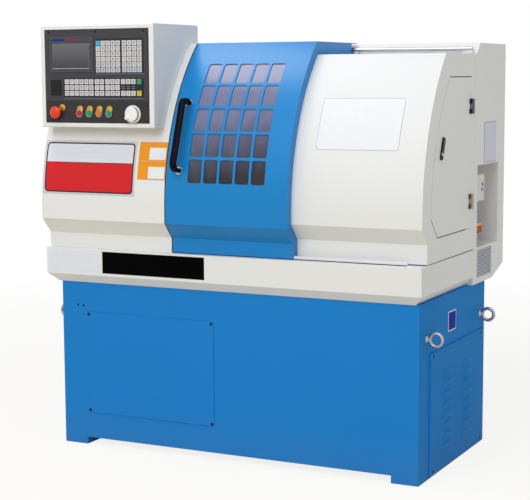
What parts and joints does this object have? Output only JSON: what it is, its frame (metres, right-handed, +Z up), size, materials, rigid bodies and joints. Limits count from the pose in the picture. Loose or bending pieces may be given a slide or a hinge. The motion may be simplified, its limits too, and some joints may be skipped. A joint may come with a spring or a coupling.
{
  "type": "cnc turning lathe",
  "caption": "Enclosed turning lathe on a sheet steel stand: curved sliding door with a slotted window, control pendant, chip tray, chuck, tool turret and tailstock.",
  "frame": {"origin": "on the floor, at the centre of the stand's four anchor holes", "axes": "+X right along the spindle, +Y to the back, +Z up"},
  "size_m": [1.4859, 0.957, 1.5045],
  "materials": {
    "blue_paint": "smooth semi-gloss enamel",
    "white_paint": "smooth satin enamel",
    "panel_dark": "printed fascia",
    "key_white": "membrane keys",
    "screen": "dark display glass",
    "smoked_pane": "smoked polycarbonate",
    "black_plastic": "moulded handle",
    "zinc": "bright zinc",
    "steel": "ground steel",
    "cast_iron": "painted grey casting",
    "aluminium": "cast aluminium",
    "rubber": "ribbed belt",
    "red_plastic": "moulded cap",
    "green_plastic": "moulded cap",
    "orange_plastic": "moulded cap",
    "white_plastic": "moulded dial",
    "brass": "plated hinge",
    "oil_tank": "translucent tank",
    "grey_paint": "machine grey"
  },
  "bodies": {
    "machine": {"stand_cabinet": "blue_paint", "front_access_panel": "blue_paint", "end_louvre_panel": "blue_paint", "chip_tray": "white_paint", "headstock_cover": "white_paint", "right_cover": "white_paint", "rear_housing": "white_paint", "pendant_box": "white_paint", "control_fascia": "panel_dark", "screen_bezel": "panel_dark", "upper_keypad": "key_white", "lower_keypad": "key_white", "screen_glass": "screen", "lifting_eyebolts": "zinc", "button_bezels": "zinc", "door_rail": "zinc", "spindle_bearings": "steel", "electrical_backplate": "steel", "bed_casting": "cast_iron", "headstock_casting": "cast_iron", "feed_bearing_blocks": "aluminium", "drive_belt": "rubber", "lubricator_pump": "white_plastic", "cabinet_hinges": "brass", "lubricator_tank": "oil_tank", "spindle_motor": "grey_paint", "feed_servo_motor": "grey_paint", "electrical_drives": "grey_paint", "coolant_tank": "grey_paint", "coolant_pump": "grey_paint"},
    "door": {"sliding_door": "blue_paint", "door_window": "smoked_pane", "door_handle": "black_plastic", "door_hangers": "aluminium"},
    "side_door": {"side_access_door": "white_paint"},
    "side_latch": {"side_door_latch": "panel_dark"},
    "rear_door": {"rear_cabinet_door": "white_paint"},
    "stop_button": {"stop_button": "red_plastic"},
    "red_button": {"red_button": "red_plastic"},
    "green_button": {"green_button": "green_plastic"},
    "orange_button": {"orange_button": "orange_plastic"},
    "green_button_right": {"green_button_right": "green_plastic"},
    "dial": {"pulse_handwheel": "white_plastic"},
    "spindle": {"spindle": "steel", "spindle_pulley": "aluminium", "chuck_body": "steel"},
    "jaw_1": {"chuck_jaw_1": "steel"},
    "jaw_2": {"chuck_jaw_2": "steel"},
    "jaw_3": {"chuck_jaw_3": "steel"},
    "motor_rotor": {"motor_pulley": "aluminium"},
    "carriage": {"carriage_saddle": "cast_iron", "cross_servo_motor": "grey_paint"},
    "feed_screw": {"feed_ball_screw": "steel"},
    "cross": {"cross_slide": "cast_iron"},
    "cross_screw": {"cross_ball_screw": "steel"},
    "turret": {"tool_turret": "steel", "turning_tools": "steel"},
    "tailstock": {"tailstock_body": "cast_iron"},
    "quill": {"tailstock_quill": "steel"},
    "tail_wheel": {"tailstock_handwheel": "steel"}
  },
  "joints": [
    {"name": "door_slide", "type": "slide", "parent": "machine", "child": "door", "axis": [1, 0, 0], "range_m": [0, 0.43]},
    {"name": "side_door_swing", "type": "hinge", "parent": "machine", "child": "side_door", "pos_m": [0.7075, 0.111, 1.06], "axis": [0, 0, 1], "range_deg": [0, 110]},
    {"name": "side_latch_turn", "type": "hinge", "parent": "side_door", "child": "side_latch", "pos_m": [0.7, -0.187, 1.07], "axis": [1, 0, 0], "range_deg": [0, 90]},
    {"name": "rear_door_swing", "type": "hinge", "parent": "machine", "child": "rear_door", "pos_m": [-0.3865, 0.512, 1.02], "axis": [0, 0, 1], "range_deg": [0, 110]},
    {"name": "stop_press", "type": "slide", "parent": "machine", "child": "stop_button", "axis": [0, 1, 0], "range_m": [0, 0.005]},
    {"name": "red_press", "type": "slide", "parent": "machine", "child": "red_button", "axis": [0, 1, 0], "range_m": [0, 0.003], "stiffness_N_per_m": 300},
    {"name": "green_press", "type": "slide", "parent": "machine", "child": "green_button", "axis": [0, 1, 0], "range_m": [0, 0.003], "stiffness_N_per_m": 300},
    {"name": "orange_press", "type": "slide", "parent": "machine", "child": "orange_button", "axis": [0, 1, 0], "range_m": [0, 0.003], "stiffness_N_per_m": 300},
    {"name": "green_right_press", "type": "slide", "parent": "machine", "child": "green_button_right", "axis": [0, 1, 0], "range_m": [0, 0.003], "stiffness_N_per_m": 300},
    {"name": "dial_turn", "type": "hinge", "parent": "machine", "child": "dial", "pos_m": [-0.3285, -0.41, 1.1982], "axis": [0, -1, 0], "continuous": true},
    {"name": "spindle_turn", "type": "hinge", "parent": "machine", "child": "spindle", "pos_m": [0, -0.0365, 1.05], "axis": [1, 0, 0], "continuous": true},
    {"name": "motor_turn", "type": "hinge", "parent": "machine", "child": "motor_rotor", "pos_m": [0, -0.0365, 0.172], "axis": [1, 0, 0], "continuous": true},
    {"name": "jaw_1_slide", "type": "slide", "parent": "spindle", "child": "jaw_1", "axis": [0, 0, 1], "range_m": [-0.008, 0.006]},
    {"name": "jaw_2_slide", "type": "slide", "parent": "spindle", "child": "jaw_2", "axis": [0, -0.866, -0.5], "range_m": [-0.008, 0.006]},
    {"name": "jaw_3_slide", "type": "slide", "parent": "spindle", "child": "jaw_3", "axis": [0, 0.866, -0.5], "range_m": [-0.008, 0.006]},
    {"name": "carriage_slide", "type": "slide", "parent": "machine", "child": "carriage", "axis": [1, 0, 0], "range_m": [-0.1, 0.1]},
    {"name": "feed_screw_turn", "type": "hinge", "parent": "machine", "child": "feed_screw", "pos_m": [0, -0.1675, 0.87], "axis": [1, 0, 0], "continuous": true},
    {"name": "cross_slide_travel", "type": "slide", "parent": "carriage", "child": "cross", "axis": [0, 1, 0], "range_m": [-0.035, 0.025]},
    {"name": "cross_screw_turn", "type": "hinge", "parent": "carriage", "child": "cross_screw", "pos_m": [0.095, 0, 0.9533], "axis": [0, 1, 0], "continuous": true},
    {"name": "turret_turn", "type": "hinge", "parent": "cross", "child": "turret", "pos_m": [0.095, -0.1715, 1.014], "axis": [0, 0, 1], "continuous": true},
    {"name": "tailstock_slide", "type": "slide", "parent": "machine", "child": "tailstock", "axis": [1, 0, 0], "range_m": [-0.1, 0.015]},
    {"name": "tail_wheel_turn", "type": "hinge", "parent": "tailstock", "child": "tail_wheel", "pos_m": [0, -0.0365, 1.05], "axis": [1, 0, 0], "range_deg": [0, 4050]},
    {"name": "quill_slide", "type": "slide", "parent": "tailstock", "child": "quill", "axis": [-1, 0, 0], "range_m": [0, 0.0451]}
  ],
  "couplings": [
    {"joint": "motor_turn", "follows": "spindle_turn", "ratio": 1.5},
    {"joint": "jaw_2_slide", "follows": "jaw_1_slide", "ratio": 1},
    {"joint": "jaw_3_slide", "follows": "jaw_1_slide", "ratio": 1},
    {"joint": "feed_screw_turn", "follows": "carriage_slide", "rad_per_m": 1256.6},
    {"joint": "cross_screw_turn", "follows": "cross_slide_travel", "rad_per_m": 1570.8},
    {"joint": "quill_slide", "follows": "tail_wheel_turn", "m_per_rad": 0.00063662}
  ]
}
